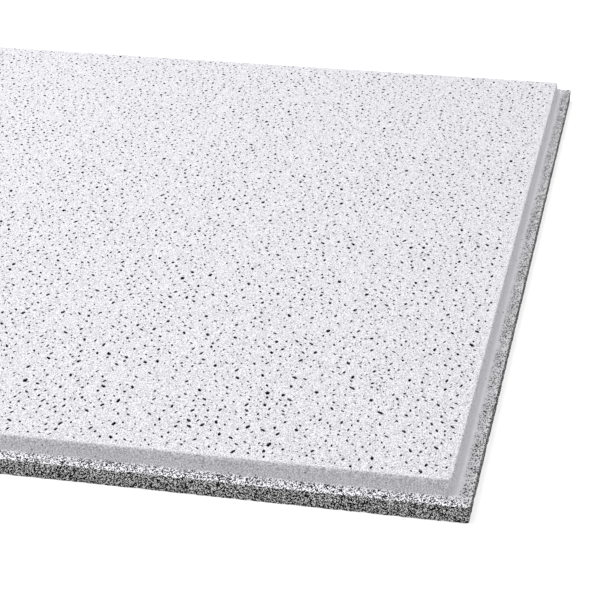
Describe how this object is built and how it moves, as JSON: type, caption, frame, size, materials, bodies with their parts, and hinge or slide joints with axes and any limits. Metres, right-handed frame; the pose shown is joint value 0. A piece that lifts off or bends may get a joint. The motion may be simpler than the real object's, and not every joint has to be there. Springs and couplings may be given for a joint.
{
  "type": "suspended ceiling tile",
  "caption": "Square mineral fibre ceiling tile with a stepped edge that hangs on a grid and a white painted face with irregular blind fissures.",
  "frame": {"origin": "middle of the flat back, on the plane that the tile lies on", "axes": "+Z out of the finished face, +X along the width and +Y along the length"},
  "size_m": [0.595, 0.595, 0.015],
  "materials": {
    "painted_mineral_fibre": "matt white sprayed paint on face and step, bare grey mineral fibre on the outer edge and back"
  },
  "bodies": {
    "root": {"ceiling_tile": "painted_mineral_fibre"}
  },
  "joints": []
}
